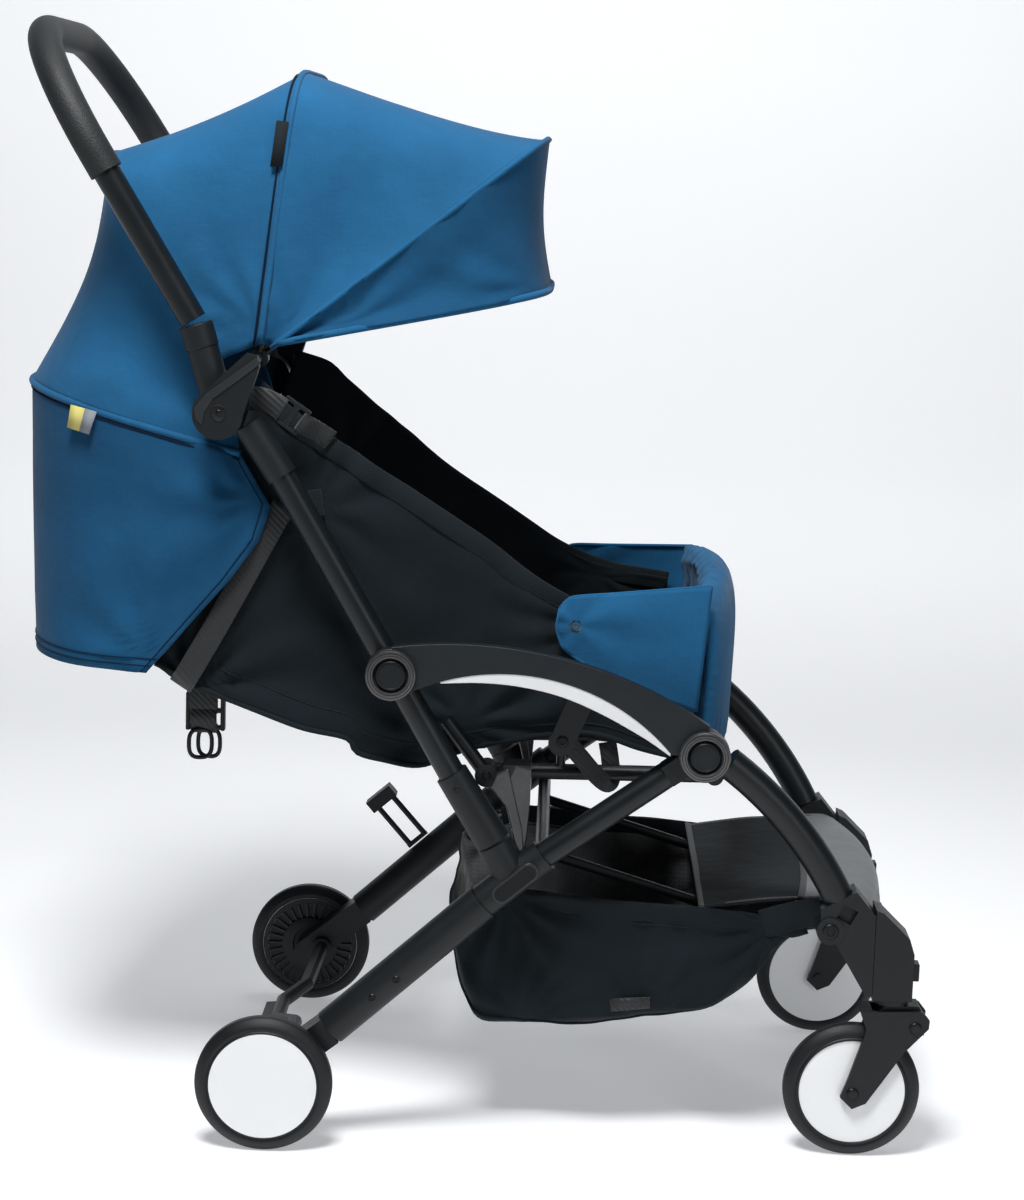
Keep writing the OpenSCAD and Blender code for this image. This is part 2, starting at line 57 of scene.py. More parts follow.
MM = 0.001
SIDES = (("right", -1), ("left", 1))  # hand, and the sign of Y there
X_AXIS, Y_AXIS, Z_AXIS = (Vector(row) for row in ((1, 0, 0), (0, 1, 0), (0, 0, 1)))


def point(x, y, z):
    """A point of the shared frame, in metres, from millimetres."""
    return Vector((x, y, z)) * MM


def angles(count):
    """count even steps around a full turn."""
    return [2 * pi * k / count for k in range(count)]


# ---------------------------------------------------------------- camera, light and stage
LIGHTS = (  # name, place, aim, size, watts, spread in degrees
    ("key", (-0.3, -1.25, 2.65), (-0.1, 0, 0.8), (0.7, 0.7), 34, 120),
    ("fill", (2.0, -2.2, 1.2), (0.1, 0, 0.4), (0.35, 1.8), 7, 140),
    ("top", (0.2, 0.3, 2.7), (0, 0, 0.5), (1.2, 1.2), 6, 130),
    ("paper", (0, 2.0, 3.4), (0, 6.0, 1.8), (4.0, 1.0), 76, 150),
)


def new_object(name, data):
    obj = bpy.data.objects.new(name, data)
    scene.collection.objects.link(obj)
    return obj


def make_camera():
    pitch, yaw, roll = 0.17003, -0.01838, 0.03165
    place = (0.082598, -2.555809, 0.93444)
    forward = Vector((sin(yaw) * cos(pitch), cos(yaw) * cos(pitch), -sin(pitch)))
    right = Vector((cos(yaw), -sin(yaw), 0))
    up = right.cross(forward)
    rolled_right = right * cos(roll) + up * sin(roll)
    rolled_up = up * cos(roll) - right * sin(roll)
    data = bpy.data.cameras.new("camera")
    data.lens = 78
    data.sensor_width = 36
    camera = new_object("camera", data)
    turn = Matrix((rolled_right, rolled_up, -forward)).transposed().to_4x4()
    camera.matrix_world = Matrix.Translation(place) @ turn
    scene.camera = camera


def area_light(name, at, aim, size, watts, spread):
    data = bpy.data.lights.new(name, "AREA")
    data.spread = radians(spread)
    data.shape = "RECTANGLE"
    data.size, data.size_y = size
    data.energy = watts
    light = new_object(name, data)
    light.location = at
    light.rotation_mode = "QUATERNION"
    light.rotation_quaternion = (Vector(aim) - Vector(at)).to_track_quat("-Z", "Y")


def make_studio():
    world = bpy.data.worlds.new("studio")
    scene.world = world
    world.use_nodes = True
    background = world.node_tree.nodes["Background"]
    set_inputs(background, Color=(0.98, 0.99, 1.0, 1), Strength=0.07)
    for row in LIGHTS:
        area_light(*row)
    scene.view_settings.view_transform = "Standard"
    near, half_width, depth, height, bend = -8.0, 9.0, 6.0, 6.0, 1.2
    profile = [(near, 0.0), (depth - bend, 0.0)]
    for a in np.linspace(0, pi / 2, 16)[1:]:
        profile.append((depth - bend + bend * sin(a), bend - bend * cos(a)))
    profile.append((depth, height))
    rows = [[Vector((x, y, z)) for x in (-half_width, half_width)] for y, z in profile]
    loft("backdrop", rows, "studio_white")


# ---------------------------------------------------------------- materials
GRAIN_DEPTH = 0.0006


def new_material(name):
    """A material, its nodes and links, its shader and the object's own coordinates."""
    material = bpy.data.materials.new(name)
    material.use_nodes = True
    nodes = material.node_tree.nodes
    coordinate = add_node(nodes, "TexCoord").outputs["Object"]
    return material, nodes, material.node_tree.links, nodes["Principled BSDF"], coordinate


def add_node(nodes, kind, **values):
    node = nodes.new("ShaderNode" + kind)
    for key, value in values.items():
        if hasattr(node, key):
            setattr(node, key, value)
        else:
            node.inputs[key].default_value = value
    return node


def set_inputs(node, **values):
    """Sets a node's inputs by name, with _ for a space."""
    for key, value in values.items():
        node.inputs[key.replace("_", " ")].default_value = value


def varied_colour(nodes, links, shader, base, spread, scale, coordinate):
    """Base colour that wanders a little between a darker and a lighter tone."""
    mottle = add_node(nodes, "TexNoise", Scale=scale, Detail=5.0, Roughness=0.6)
    ramp = add_node(nodes, "ValToRGB")
    for stop, place, tone in zip(ramp.color_ramp.elements, (0.3, 0.7), (1 - spread, 1 + spread)):
        stop.position = place
        stop.color = (*[c * tone for c in base], 1)
    links.new(coordinate, mottle.inputs["Vector"])
    links.new(mottle.outputs["Fac"], ramp.inputs["Fac"])
    links.new(ramp.outputs["Color"], shader.inputs["Base Color"])
    return mottle


def bump_from(nodes, links, shader, height, strength, distance, below=None):
    bump = add_node(nodes, "Bump", Strength=strength, Distance=distance)
    links.new(height, bump.inputs["Height"])
    if below is not None:
        links.new(below.outputs["Normal"], bump.inputs["Normal"])
    links.new(bump.outputs["Normal"], shader.inputs["Normal"])
    return bump


def hard(name, base, roughness, grain_scale, grain, metallic=0.0, spread=0.12, coat=0.0):
    """Paint, moulded plastic, rubber or metal: mottled colour, uneven roughness and a fine grain."""
    material, nodes, links, shader, coordinate = new_material(name)
    set_inputs(shader, Metallic=metallic, Coat_Weight=coat, Coat_Roughness=0.25, Specular_IOR_Level=0.35)
    mottle = varied_colour(nodes, links, shader, base, spread, 22.0, coordinate)
    rough = add_node(nodes, "MapRange")
    set_inputs(rough, To_Min=max(0.02, roughness - 0.07), To_Max=roughness + 0.07)
    links.new(mottle.outputs["Fac"], rough.inputs["Value"])
    links.new(rough.outputs["Result"], shader.inputs["Roughness"])
    fine = add_node(nodes, "TexNoise", Scale=grain_scale, Detail=3.0)
    links.new(coordinate, fine.inputs["Vector"])
    bump_from(nodes, links, shader, fine.outputs["Fac"], grain, GRAIN_DEPTH)
    return material


def thread_wave(nodes, links, direction, pitch, coordinate):
    """Stripes that lie pitch metres apart."""
    wave = add_node(nodes, "TexWave", bands_direction=direction, Scale=1 / (pitch * 6.283))
    links.new(coordinate, wave.inputs["Vector"])
    return wave


def woven(name, base, pitch, weave, sheen, roughness=0.85, spread=0.16):
    """Cloth: two crossed thread waves, a soft crumple under them, sheen and mottled dye."""
    material, nodes, links, shader, coordinate = new_material(name)
    set_inputs(shader, Roughness=roughness, Sheen_Weight=sheen, Sheen_Roughness=0.5, Specular_IOR_Level=0.12)
    varied_colour(nodes, links, shader, base, spread, 9.0, coordinate)
    cross = add_node(nodes, "Math", operation="MULTIPLY")
    for k, direction in enumerate(("X", "Z")):
        wave = thread_wave(nodes, links, direction, pitch, coordinate)
        set_inputs(wave, Distortion=0.6, Detail_Scale=3.0)
        links.new(wave.outputs["Fac"], cross.inputs[k])
    crumple = add_node(nodes, "TexNoise", Scale=26.0, Detail=4.0, Roughness=0.55)
    links.new(coordinate, crumple.inputs["Vector"])
    soft = bump_from(nodes, links, shader, crumple.outputs["Fac"], 0.35, 0.006)
    bump_from(nodes, links, shader, cross.outputs["Value"], weave, 0.0005, soft)
    return material


def ribbed(name, base, pitch):
    """Webbing: close ribs along the strap with a slight gloss."""
    material, nodes, links, shader, coordinate = new_material(name)
    set_inputs(shader, Roughness=0.62, Sheen_Weight=0.15)
    varied_colour(nodes, links, shader, base, 0.2, 60.0, coordinate)
    wave = thread_wave(nodes, links, "DIAGONAL", pitch, coordinate)
    bump_from(nodes, links, shader, wave.outputs["Fac"], 0.5, GRAIN_DEPTH)
    return material


def lit_paper():
    """Pale studio paper that glows a little, so that it stays white behind dark cloth."""
    material = hard("studio_white", (0.80, 0.81, 0.825), 0.9, 8, 0.0, spread=0.004)
    shader = material.node_tree.nodes["Principled BSDF"]
    set_inputs(shader, Emission_Color=(0.95, 0.97, 1.0, 1), Emission_Strength=0.33)
    return material


def make_materials():
    return {
        "tube": hard("tube_black", (0.0045, 0.0066, 0.0082), 0.36, 1500, 0.18),
        "arch": hard("arch_charcoal", (0.0075, 0.0105, 0.0125), 0.46, 1100, 0.3),
        "moulded": hard("moulded_black", (0.0045, 0.0066, 0.0082), 0.48, 1100, 0.3),
        "satin": hard("satin_grey", (0.018, 0.022, 0.025), 0.36, 1100, 0.2),
        "recess": hard("recess_black", (0.002, 0.0025, 0.003), 0.75, 800, 0.2),
        "bolt": hard("bolt_black", (0.013, 0.015, 0.016), 0.32, 900, 0.15, metallic=0.6),
        "ring": hard("ring_satin", (0.12, 0.12, 0.123), 0.34, 700, 0.4, metallic=0.85),
        "steel": hard("pin_steel", (0.3, 0.3, 0.31), 0.3, 500, 0.1, metallic=1.0),
        "copper": hard("snap_copper", (0.2, 0.14, 0.11), 0.25, 600, 0.1, metallic=1.0),
        "grip": hard("grip_foam", (0.011, 0.0135, 0.015), 0.56, 620, 0.85),
        "tyre": hard("tyre_rubber", (0.0055, 0.0072, 0.009), 0.5, 900, 0.3),
        "white": hard("cover_white", (0.84, 0.85, 0.86), 0.34, 500, 0.04, spread=0.01),
        "trim": hard("trim_white", (0.7, 0.71, 0.72), 0.4, 700, 0.08, spread=0.02),
        "red": hard("button_red", (0.42, 0.02, 0.02), 0.35, 600, 0.1),
        "smoke": hard("smoked_plastic", (0.03, 0.031, 0.033), 0.12, 300, 0.05, metallic=0.3, spread=0.5,
                      coat=1.0),
        "label": hard("blank_label", (0.55, 0.5, 0.16), 0.8, 900, 0.3),
        "label_grey": hard("blank_label_grey", (0.22, 0.24, 0.27), 0.8, 900, 0.3),
        "blue": woven("hood_blue", (0.0115, 0.09, 0.202), 0.0011, 0.2, sheen=0.06),
        # Painted shade: a darker copy of the hood blue for the drop and visor, which are the same cloth as the
        # lit panels.
        "blue_painted_shade": woven("painted_shade_blue", (0.0072, 0.062, 0.142), 0.0011, 0.2, sheen=0.04),
        "blue_inside": woven("inside_blue", (0.006, 0.036, 0.085), 0.0011, 0.2, sheen=0.03),
        "blue_seam": woven("seam_blue", (0.002, 0.010, 0.026), 0.0011, 0.2, sheen=0.02),
        "blue_edge": woven("edge_blue", (0.0105, 0.093, 0.21), 0.0009, 0.25, sheen=0.06),
        "cloth": woven("cloth_black", (0.0065, 0.0105, 0.0135), 0.0012, 0.25, sheen=0.05),
        "cloth_edge": woven("edge_black", (0.0085, 0.0125, 0.0155), 0.001, 0.3, sheen=0.05),
        # Felt grey raised well above its own tone to lift the shaded basket inside: partly the felt's colour,
        # partly painted light.
        "felt": woven("felt_grey_and_painted_light", (0.12, 0.127, 0.132), 0.0022, 0.8, roughness=0.95, sheen=0.25, spread=0.5),
        # Footrest panel grey: its own lighter tone, raised further to look lit from the front right, which is
        # painted light.
        "cover": woven("cover_grey_and_painted_light", (0.12, 0.128, 0.134), 0.0012, 0.15, roughness=0.5, sheen=0.1),
        "webbing": ribbed("webbing_black", (0.0045, 0.0062, 0.0075), 0.0016),
        "studio_white": lit_paper(),
    }


# ---------------------------------------------------------------- mesh helpers
def shade_smooth(mesh):
    mesh.polygons.foreach_set("use_smooth", [True] * len(mesh.polygons))


def mesh_object(name, vertices, faces, finish, smooth=True):
    mesh = bpy.data.meshes.new(name)
    mesh.from_pydata([tuple(v) for v in vertices], [], faces)
    mesh.materials.append(materials[finish])
    obj = new_object(name, mesh)
    if smooth:
        shade_smooth(mesh)
    tidy = bmesh.new()
    tidy.from_mesh(mesh)
    bmesh.ops.recalc_face_normals(tidy, faces=tidy.faces)
    tidy.to_mesh(mesh)
    tidy.free()
    return obj


def loft(name, rings, finish, around=False, capped=False):
    """Surface through rings of points.

    around joins each ring's ends, and capped closes the first and last ring.
    """
    count = len(rings[0])
    vertices = [p for ring in rings for p in ring]
    steps = count if around else count - 1
    faces = [
        (i * count + j, i * count + (j + 1) % count, (i + 1) * count + (j + 1) % count, (i + 1) * count + j)
        for i in range(len(rings) - 1)
        for j in range(steps)
    ]
    if capped:
        faces += [tuple(range(count)), tuple(range((len(rings) - 1) * count, len(rings) * count))]
    return mesh_object(name, vertices, faces, finish)


def modifier(obj, kind, **values):
    made = obj.modifiers.new(kind.lower(), kind)
    for key, value in values.items():
        setattr(made, key, value)
    return made


def weld(obj):
    modifier(obj, "WELD", merge_threshold=0.00002)


def thicken(obj, thickness):
    modifier(obj, "SOLIDIFY", thickness=thickness * MM, offset=0.0)
    return obj


def finish_piece(obj, body, replaced=""):
    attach(obj, body)
    if replaced:
        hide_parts(replaced)
    return obj


def bending(obj):
    """Bakes the piece's placement into its mesh."""
    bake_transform(obj)


def smooth_path(points, per_span=8):
    """Catmull-Rom curve through a few points."""
    padded = [2 * points[0] - points[1], *points, 2 * points[-1] - points[-2]]
    made = []
    for a, b, c, d in zip(padded, padded[1:], padded[2:], padded[3:]):
        for k in range(per_span):
            t = k / per_span
            at = 2 * b + (c - a) * t + (2 * a - 5 * b + 4 * c - d) * t * t
            made.append(0.5 * (at + (3 * b - a - 3 * c + d) * t ** 3))
    return made + [points[-1]]


def side_line(outline, count, per_span=8):
    """count even points on a smooth curve through [x, z] points, all in mm."""
    return even(smooth_path([Vector((x, 0, z)) for x, z in outline], per_span), count)


def swept(name, path, shape, finish, reference=Y_AXIS):
    """shape, as (side, up) pairs in metres, swept along a path; reference is roughly square to the path."""
    rings = []
    for i, at in enumerate(path):
        along = (path[min(i + 1, len(path) - 1)] - path[max(i - 1, 0)]).normalized()
        side = along.cross(reference).normalized()
        up = side.cross(along)
        rings.append([at + side * s + up * h for s, h in shape])
    return loft(name, rings, finish, around=True, capped=True)


def round_shape(diameter, sides=12):
    r = diameter / 2 * MM
    return [(r * cos(a), r * sin(a)) for a in angles(sides)]


def strap_shape(width, thick):
    """Flat strap section with softly rounded edges."""
    w, t = width / 2 * MM, thick / 2 * MM
    low = [(-w, -t * 0.4), (-w + t, -t), (w - t, -t), (w, -t * 0.4)]
    return low + [(-s, -h) for s, h in low]


LEAST_RADIUS = 0.01


def turned(name, at, profile, finish, side, steps, body, replaced="", base=0, ring=False):
    """Turned piece on an axis along Y through an [x, z] point in mm; side is -1 or 1.

    profile holds (radius, outward) pairs in mm, counted outwards from |y| = base. A ring is hollow.
    """
    rings = []
    for radius, out in profile:
        r, y = max(radius, LEAST_RADIUS), side * (base + out)
        rings.append([point(at[0] + r * cos(a), y, at[1] + r * sin(a)) for a in angles(steps)])
    if ring:
        rings.append(rings[0])
    obj = loft(name, rings, finish, around=True, capped=not ring)
    weld(obj)
    modifier(obj, "EDGE_SPLIT", split_angle=radians(38))
    finish_piece(obj, body, replaced)


def bolt(name, at, out, diameter, side, body):
    """Round bolt head with a recessed drive, standing 2 mm proud of a face at |y| = out."""
    r = diameter / 2
    profile = [(r, -1), (r, 1.0), (r - 0.8, 1.9), (r * 0.55, 2.1), (r * 0.5, 0.8), (0, 0.7)]
    turned(name, at, profile, "bolt", side, 32, body, base=out)


def flat_piece(name, outline, low, high, side, finish, edge, body, replaced=""):
    """Flat piece from an [x, z] outline in mm, between |y| = low and |y| = high, with softened edges."""
    rings = [[point(x, side * y, z) for x, z in outline] for y in (low, high)]
    obj = loft(name, rings, finish, around=True, capped=True)
    rounded(obj, edge)
    finish_piece(obj, body, replaced)


def strap_piece(name, points, width, thick, reference, body, replaced="", side=1,
                finish="webbing"):
    """Strap through (x, y, z) points in mm, with y as on the left side."""
    path = smooth_path([point(x, side * y, z) for x, y, z in points], 7)
    piece = swept(name, path, strap_shape(width, thick), finish, Vector(reference))
    return finish_piece(piece, body, replaced)


def rounded(obj, width):
    """Softens a rigid piece's edges without moving its faces."""
    weld(obj)
    modifier(obj, "BEVEL", width=width * MM, segments=2, limit_method="ANGLE", angle_limit=radians(35),
             harden_normals=False)
    modifier(obj, "WEIGHTED_NORMAL", keep_sharp=True)
    shade_smooth(obj.data)


def wrinkle(obj, amount, stretch, seed, weight=lambda p: 1.0):
    """Moves vertices along their normals by smooth noise. stretch holds waves per metre along X, Y and Z."""
    mesh = obj.data
    normals = [v.normal.copy() for v in mesh.vertices]
    for v, normal in zip(mesh.vertices, normals):
        at = Vector([c * waves for c, waves in zip(v.co, stretch)]) + Vector((seed, 2 * seed, 0))
        fold = noise.noise(at) + 0.5 * noise.noise(at * 2.1)
        v.co += normal * fold * amount * MM * weight(v.co)
    mesh.update()


def pull_folds(cloth, root, height, reach, count):
    """Soft folds in a side cloth that fan out of an [x, z] point in mm and die away over reach metres.

    They stand height mm out of the cloth, or into it if height is negative.
    """
    for v in cloth.data.vertices:
        x, z = v.co.x - root[0] * MM, v.co.z - root[1] * MM
        away = hypot(x, z)
        fade = exp(-(away / reach) ** 2) * min(1.0, away / 0.04)
        fade *= min(1.0, max(0.0, abs(v.co.y) - 0.12) / 0.03)
        wave = sin(atan2(z, x) * count + 4 * noise.noise(v.co * 7))
        v.co.y += copysign(1, v.co.y) * height * MM * fade * (0.5 + 0.5 * wave)
    cloth.data.update()


def traced(piece, width, cells, lift, middle):
    """Points on a lofted piece at (row, column) cells, lifted off its face, away from middle, by lift mm."""
    made = []
    for row, column in cells:
        v = piece.data.vertices[row * width + column]
        outward = v.normal if v.normal.dot(v.co - middle) > 0 else -v.normal
        made.append(v.co + outward * lift * MM)
    return made


def even(points, count):
    """count points spaced evenly along a polyline."""
    co = np.array([tuple(p) for p in points])
    run = np.concatenate([[0], np.cumsum(np.linalg.norm(np.diff(co, axis=0), axis=1))])
    at = np.linspace(0, run[-1], count)
    return [Vector([float(np.interp(a, run, co[:, k])) for k in range(3)]) for a in at]


materials = make_materials()
make_camera()
make_studio()

# ---------------------------------------------------------------- rigid parts that keep their CAD shape
def both(*stems):
    """Right and left names of mirrored nodes."""
    return [f"{stem}_{hand}" for stem in stems for hand, _ in SIDES]


FINISH = (  # material, rounding of the edges in mm, nodes
    ("tube", 0.6, both("rear_tube", "strut", "front_leg")),
    ("tube", 0.6, ("handle_tubes", "footrest_bar", "basket_rods", "seat_rails", "top_bow", "front_bow",
                   "recline_brackets")),
    ("arch", 2.0, both("arch")),
    ("moulded", 1.2, both("rear_leg", "hub", "handle_elbow", "caster_head", "caster_button", "fork")),
    ("moulded", 1.2, ("strut_feet", "leg_sockets", "caster_housings", "brake_bar", "lock_loop",
                      "harness_buckle", "recline_buckle")),
    ("red", 0.8, ("buckle_button",)),
    ("steel", 0.4, ("hinge_pins",)),
    ("grip", 1.0, ("handle_grip",)),
    ("tyre", 0.8, both("rear_tyre", "front_tyre")),
    ("white", 0.6, both("rear_hub", "front_hub")),
)
for finish, edge, names in FINISH:
    for name in names:
        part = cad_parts[name]
        part.data.materials.clear()
        part.data.materials.append(materials[finish])
        rounded(part, edge)


# ---------------------------------------------------------------- hood
HOOD_HALF = 168
BOW_POINTS = 97
WELT_POINTS = 73
PANEL_ROWS = 40
REAR = ((-245, 735), (-351.4, 924), 0.34)
TOP = ((-200, 755), (-170.7, 1003), 0.3)
FRONT = ((-190, 751), (57.3, 949), 0.34)
VISOR = ((-184, 756), (64, 808), 0.42)
RIM = ((-217, 653), (-437, 706), 0.72)
DROP = [
    RIM, ((-188, 606), (-436, 655), 0.72), ((-197, 575), (-435, 612), 0.72), ((-224, 537), (-434, 560), 0.72),
    ((-258, 497), (-433, 502), 0.72), ((-303, 443), (-431, 449), 0.72),
]
HOOD_MIDDLE = point(-200, 0, 760)


def bow(ring, half=HOOD_HALF, inset=0.0, count=BOW_POINTS):
    """Evenly spaced points over a bow, from its right foot over the crown to its left foot."""
    foot, crown, power = Vector(ring[0]), Vector(ring[1]), ring[2]
    crown = crown + (foot - crown).normalized() * inset
    made = []
    for t in np.linspace(0, pi, 181):
        reach = sin(t) ** power
        y = -(half - inset) * copysign(abs(cos(t)) ** power, cos(t))
        x, z = foot + (crown - foot) * reach
        made.append(point(x, y, z))
    return even(made, count)


def hood_panel(name, rings, sag, crumple, seed, lean, roots, folds, finish="blue"):
    """Cloth stretched over bows.

    It pulls in towards the hood's middle by sag mm, deepest near the first bow if lean < 1.
    """
    bows = [bow(ring) for ring in rings]
    spans, rows = len(bows) - 1, PANEL_ROWS
    made = []
    for i in range(rows + 1):
        at = spans * i / rows
        k = min(int(at), spans - 1)
        pull = sag * sin(pi * (i / rows) ** lean) * MM
        ring = []
        for a, b in zip(bows[k], bows[k + 1]):
            p = a.lerp(b, at - k)
            ring.append(p + (HOOD_MIDDLE - p).normalized() * pull * min(1.0, (p - HOOD_MIDDLE).length / 0.2))
        made.append(ring)
    cloth = loft(name, made, finish)
    wrinkle(cloth, crumple, (9, 5, 5), seed, lambda p: min(1.0, abs(p.y) / 0.12))
    for root in roots:
        pull_folds(cloth, root, folds, 0.16, 9)
    cloth.data.materials.append(materials["blue_inside"])
    return cloth


def two_faced(piece, middle, thickness=1.6):
    """Gives cloth its thickness towards middle, with the second material on its inner face."""
    mesh = piece.data
    if sum(face.normal.dot(face.center - middle) * face.area for face in mesh.polygons) < 0:
        mesh.flip_normals()
    modifier(piece, "SOLIDIFY", thickness=thickness * MM, offset=-1, material_offset=1)


def crown(ring):
    return point(ring[1][0], 0, ring[1][1])


def hood_line(name, path, diameter, finish, body):
    line = swept(name, path, round_shape(diameter, 10), finish, Vector((0.6, 0.02, 0.8)))
    finish_piece(line, body)


def make_hood():
    back = hood_panel("hood_back_cloth", [REAR, RIM], 13, 1.8, 3.0, 1.0, [(-217, 670), (-430, 712)], 4.0)
    drop_roots = [(-200, 610), (-300, 450)]
    # The drop panel wears the darker blue, which is painted shade.
    drop = hood_panel("hood_drop_cloth", DROP, -2, 1.0, 8.0, 1.0, drop_roots, 6.0, "blue_painted_shade")
    for piece, rings in ((back, [REAR, RIM]), (drop, DROP)):
        two_faced(piece, HOOD_MIDDLE)
        finish_piece(piece, "back_frame", "hood_back")
    blended = [
        ("rear", [TOP, REAR], 6, 1.3, 5.0, 1.0, [(-205, 770)], "back_frame", "hood_top"),
        ("roof", [FRONT, TOP], 9, 1.6, 11.0, 0.6, [(-170, 770)], "hood_top", "hood_front"),
        ("visor", [VISOR, FRONT], 8, 2.2, 17.0, 1.0, [(50, 815), (-120, 775)], "hood_front", "hood_visor"),
    ]
    for name, rings, sag, crumple, seed, lean, roots, body_a, body_b in blended:
        # The visor wears the darker blue, which is painted shade.
        folds, finish = (5.0, "blue_painted_shade") if name == "visor" else (3.0, "blue")
        piece = hood_panel("hood_" + name + "_cloth", rings, sag, crumple, seed, lean, roots, folds, finish)
        two_faced(piece, HOOD_MIDDLE)
        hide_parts("hood_" + name)
        bending(piece)
    top_line = bow(TOP, count=WELT_POINTS)
    zip_line = [p + point(0, 0, -5.5) for p in bow(RIM, half=168.6, count=WELT_POINTS)]
    hood_line("hood_welt_top", top_line, 6.0, "blue", "hood_top")
    hood_line("hood_seam_top", [p + point(-6, 0, -2) for p in top_line], 2.2, "blue_seam", "hood_top")
    hood_line("hood_welt_front", bow(FRONT, count=WELT_POINTS), 5.0, "blue_edge", "hood_front")
    hood_line("hood_piping_visor", bow(VISOR, count=WELT_POINTS), 7.0, "blue_edge", "hood_visor")
    hood_line("hood_welt_rear", bow(REAR, count=WELT_POINTS), 4.0, "blue", "back_frame")
    hood_line("hood_piping_rim", bow(RIM, count=WELT_POINTS), 6.5, "blue", "back_frame")
    hood_line("hood_zip_line", zip_line, 2.6, "blue_seam", "back_frame")
    stitches = [("bottom", [(PANEL_ROWS - 2, k) for k in range(BOW_POINTS)]),
                ("low", [(PANEL_ROWS - 1, k) for k in range(BOW_POINTS)]),
                ("front_right", [(k, 1) for k in range(PANEL_ROWS + 1)]),
                ("front_left", [(k, BOW_POINTS - 2) for k in range(PANEL_ROWS + 1)])]
    for name, cells in stitches:
        path = traced(drop, BOW_POINTS, cells, 0.5, HOOD_MIDDLE)
        hood_line("hood_stitch_" + name, path, 0.9, "blue_seam", "back_frame")
    path = bow(TOP, half=170)[:48]
    low, high = (min(path, key=lambda p: abs(p.z - z)) for z in (0.913, 0.952))
    corners = [[low, high], [low + point(-11, 0, -1), high + point(-11, 0, 1)]]
    tag = loft("hood_tag", [[p + point(-1, -2.5, 1) for p in row] for row in corners], "cloth_edge")
    finish_piece(thicken(tag, 1.4), "hood_top")
    corners = [(-378.7, -145, 690.9), (-352.5, -157, 686.2), (-360, -155, 664.4), (-382.4, -144, 669.3)]
    rear_top, front_top, front_low, rear_low = (point(*corner) for corner in corners)
    for name, finish, ends in (("rear", "label", (0.0, 0.55)), ("front", "label_grey", (0.55, 1.0))):
        rows = [[a.lerp(b, f) for f in ends] for a, b in ((rear_top, front_top), (rear_low, front_low))]
        finish_piece(thicken(loft("care_tag_" + name, rows, finish), 0.9), "back_frame")


make_hood()


# ---------------------------------------------------------------- seat
SIDE_TOPS = {
    "right": [(-200, 722), (-176, 700), (-150, 682), (-124, 665), (-81, 637), (-38, 611), (6, 582),
              (45, 551), (81, 527), (120, 508), (196, 498)],
    "left": [(-199, 725), (-166, 715), (-150, 700), (-121, 675), (-86, 647), (-42, 611), (4, 580),
             (45, 552), (81, 529), (120, 511), (196, 498)],
}
SIDE_FEET = [(-296, 451), (-288, 447), (-280, 441), (-258, 430), (-212, 413), (-157, 394), (-114, 385),
             (-104, 371), (-79, 365), (-40, 362), (0, 379), (76, 394), (125, 396), (164, 385), (203, 377)]
SIDE_FOLDS = [((-262, 430), -8.0, 0.2), ((0, 400), -7.0, 0.17), ((120, 500), -5.0, 0.12),
              ((-150, 600), -5.0, 0.14)]
SIDE_ROWS, SIDE_POINTS = 56, 90


def follow_fold(piece):
    """Bakes the seat cloth's placement into its mesh."""
    bending(piece)


def side_cloth(name, top, foot, y, side, count, rows, finish):
    """Cloth between two [x, z] edges in mm at |y| = y, bowed outwards by 3 mm. Gives its edges too."""
    tops, feet = (even(smooth_path([point(x, side * y, z) for x, z in edge]), count) for edge in (top, foot))
    rings = []
    for i in range(rows + 1):
        f = i / rows
        out = point(0, side * 3 * sin(pi * f), 0)
        rings.append([t.lerp(b, f) + out for t, b in zip(tops, feet)])
    return loft(name, rings, finish), tops, feet


def seat_side(hand, side):
    """Seat side cloth from its hemmed top edge down to the seat's lower edge."""
    name = "seat_side_" + hand
    top = SIDE_TOPS[hand]
    cloth = side_cloth(name, top, SIDE_FEET, 160, side, SIDE_POINTS, SIDE_ROWS, "cloth")[0]
    wrinkle(cloth, 1.5, (9, 9, 15), 4.0 + side)
    for root, height, reach in SIDE_FOLDS:
        pull_folds(cloth, root, height, reach, 11)
    inside = point(-60, 0, 520)
    lines = (("_hem", 2, strap_shape(20, 3.2), "cloth_edge", 1.4),
             ("_stitch", 4, round_shape(1.0), "recess", 1.6),
             ("_edge", SIDE_ROWS, round_shape(6), "cloth_edge", 0),
             ("_band", SIDE_ROWS - 5, round_shape(1.2), "recess", 1.2))
    for suffix, row, shape, finish, lift in lines:
        path = traced(cloth, SIDE_POINTS, [(row, k) for k in range(SIDE_POINTS)], lift, inside)
        follow_fold(swept(name + suffix, path, shape, finish))
    thicken(cloth, 1.8)
    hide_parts("seat_sides")
    follow_fold(cloth)


for pair in SIDES:
    seat_side(*pair)

BOX_FACES = ((0, 1, 3, 2), (4, 6, 7, 5), (0, 4, 5, 1), (2, 3, 7, 6), (0, 2, 6, 4), (1, 5, 7, 3))
SETTLE_FRAMES = 20


def block(name, low, high, finish):
    vertices = [(x, y, z) for x in (low[0], high[0]) for y in (low[1], high[1]) for z in (low[2], high[2])]
    return mesh_object(name, vertices, BOX_FACES, finish)


def evaluated(obj):
    return obj.evaluated_get(bpy.context.evaluated_depsgraph_get())


